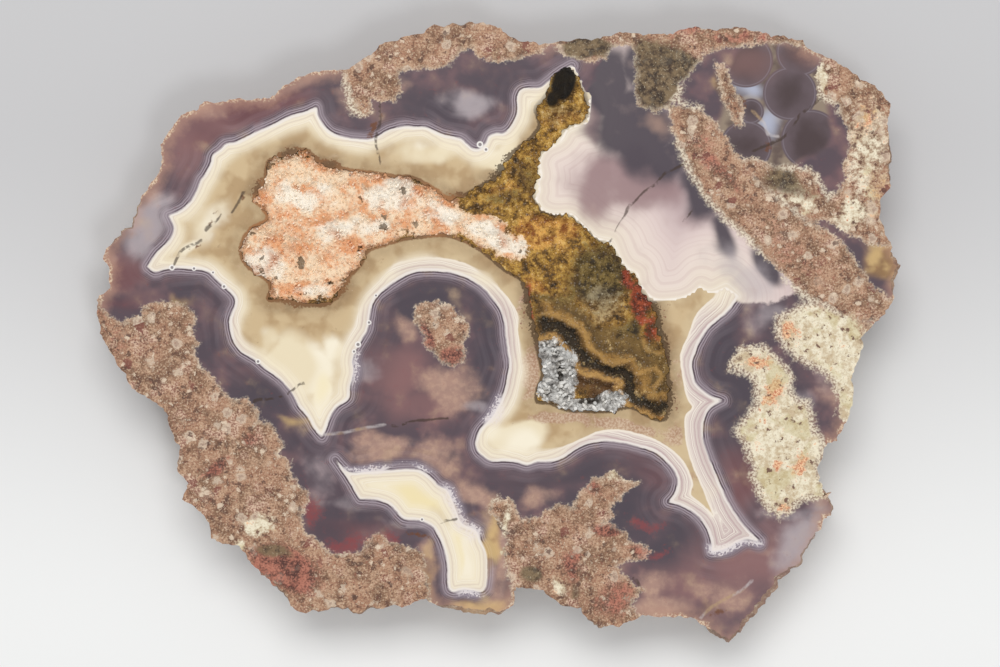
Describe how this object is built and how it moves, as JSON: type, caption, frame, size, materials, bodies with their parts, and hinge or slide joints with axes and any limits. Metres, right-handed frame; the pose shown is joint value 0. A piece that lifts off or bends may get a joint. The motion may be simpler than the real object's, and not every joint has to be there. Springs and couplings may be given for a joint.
{
  "type": "agate slice",
  "caption": "Flat sawn agate slice with fortification bands, rough host-rock rind and an open pocket lined with crystals; lies on its sawn back.",
  "frame": {"origin": "centre of the bounding box in plan, on the sawn back that the slice lies on", "axes": "+X runs along the slice's long side, to the right as seen looking down on the polished face; +Y runs along its short side, to the top of that view; +Z is the outward normal of the polished face"},
  "size_m": [0.14, 0.1082, 0.012],
  "materials": {
    "agate": "polished banded chalcedony with rough host rock",
    "crystals": "pink and white drusy quartz with brown and gold mossy ledges"
  },
  "bodies": {
    "root": {"agate_slice": "agate", "crystal_crust": "crystals"}
  },
  "joints": []
}
